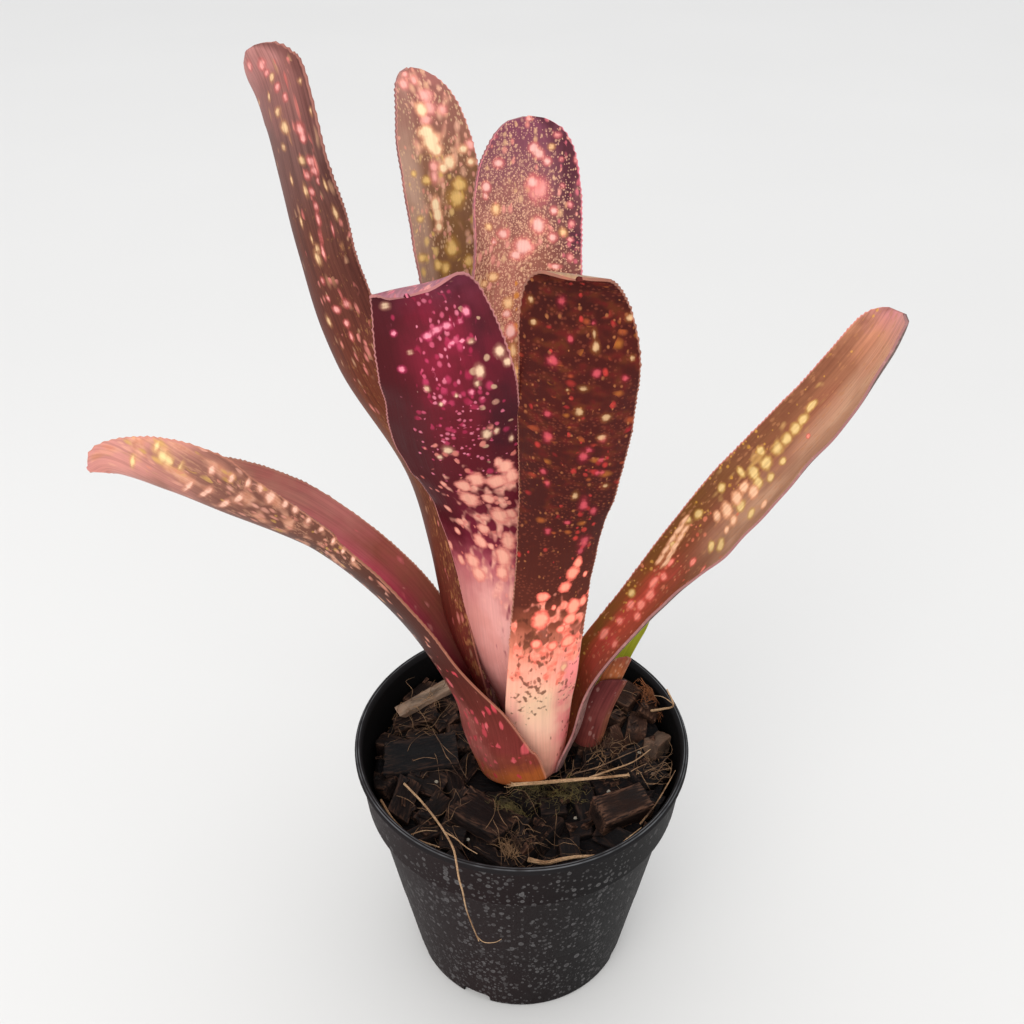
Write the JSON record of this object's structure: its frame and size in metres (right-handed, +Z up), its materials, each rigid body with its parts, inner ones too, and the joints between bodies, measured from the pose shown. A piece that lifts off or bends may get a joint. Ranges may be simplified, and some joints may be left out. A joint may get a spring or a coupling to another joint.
{
  "type": "potted billbergia bromeliad",
  "caption": "Spotted strap-leaved billbergia with a young offset, growing in bark mix in a round black plastic nursery pot.",
  "frame": {"origin": "centre of the pot's flat base, on the surface that it stands on", "axes": "+Z up along the pot's axis, +Y away from the viewer of the picture, +X to the viewer's right"},
  "size_m": [0.267, 0.1324, 0.3638],
  "materials": {
    "pot_plastic": "moulded, matte, with mineral water spots",
    "bark": "rough damp bark and charcoal",
    "pale_wood": "rough split wood",
    "stem_tissue": "fibrous",
    "leaf_burgundy": "semi-gloss leaf with pink blotches and scurf",
    "leaf_maroon": "semi-gloss leaf with coral blotches",
    "leaf_rose": "semi-gloss leaf with rose blotches",
    "leaf_olive_brown": "satin leaf with cream blotches",
    "leaf_dark_brown": "satin leaf with yellow and pink streaks",
    "leaf_bronze": "satin leaf with peach and yellow blotches",
    "bract": "dull papery bract",
    "leaf_green": "semi-gloss young leaf",
    "dry_root": "dry and fibrous"
  },
  "bodies": {
    "root": {"pot": "pot_plastic", "bark_mix": "bark", "bark_slab": "bark", "wood_sliver": "pale_wood", "bark_chip_front": "bark", "bark_block": "bark", "stem": "stem_tissue", "leaf_front_left": "leaf_burgundy", "leaf_back_right": "leaf_rose", "leaf_back_left": "leaf_olive_brown", "leaf_left_tall": "leaf_dark_brown", "leaf_front_right": "leaf_maroon", "leaf_right_low": "leaf_bronze", "leaf_left_low": "leaf_bronze", "offset_outer_bract": "bract", "offset_inner_bract": "bract", "offset_leaf": "leaf_green", "straw_front": "dry_root", "twig_front": "dry_root", "root_over_rim": "dry_root", "root_left": "dry_root", "root_right": "dry_root"}
  },
  "joints": []
}
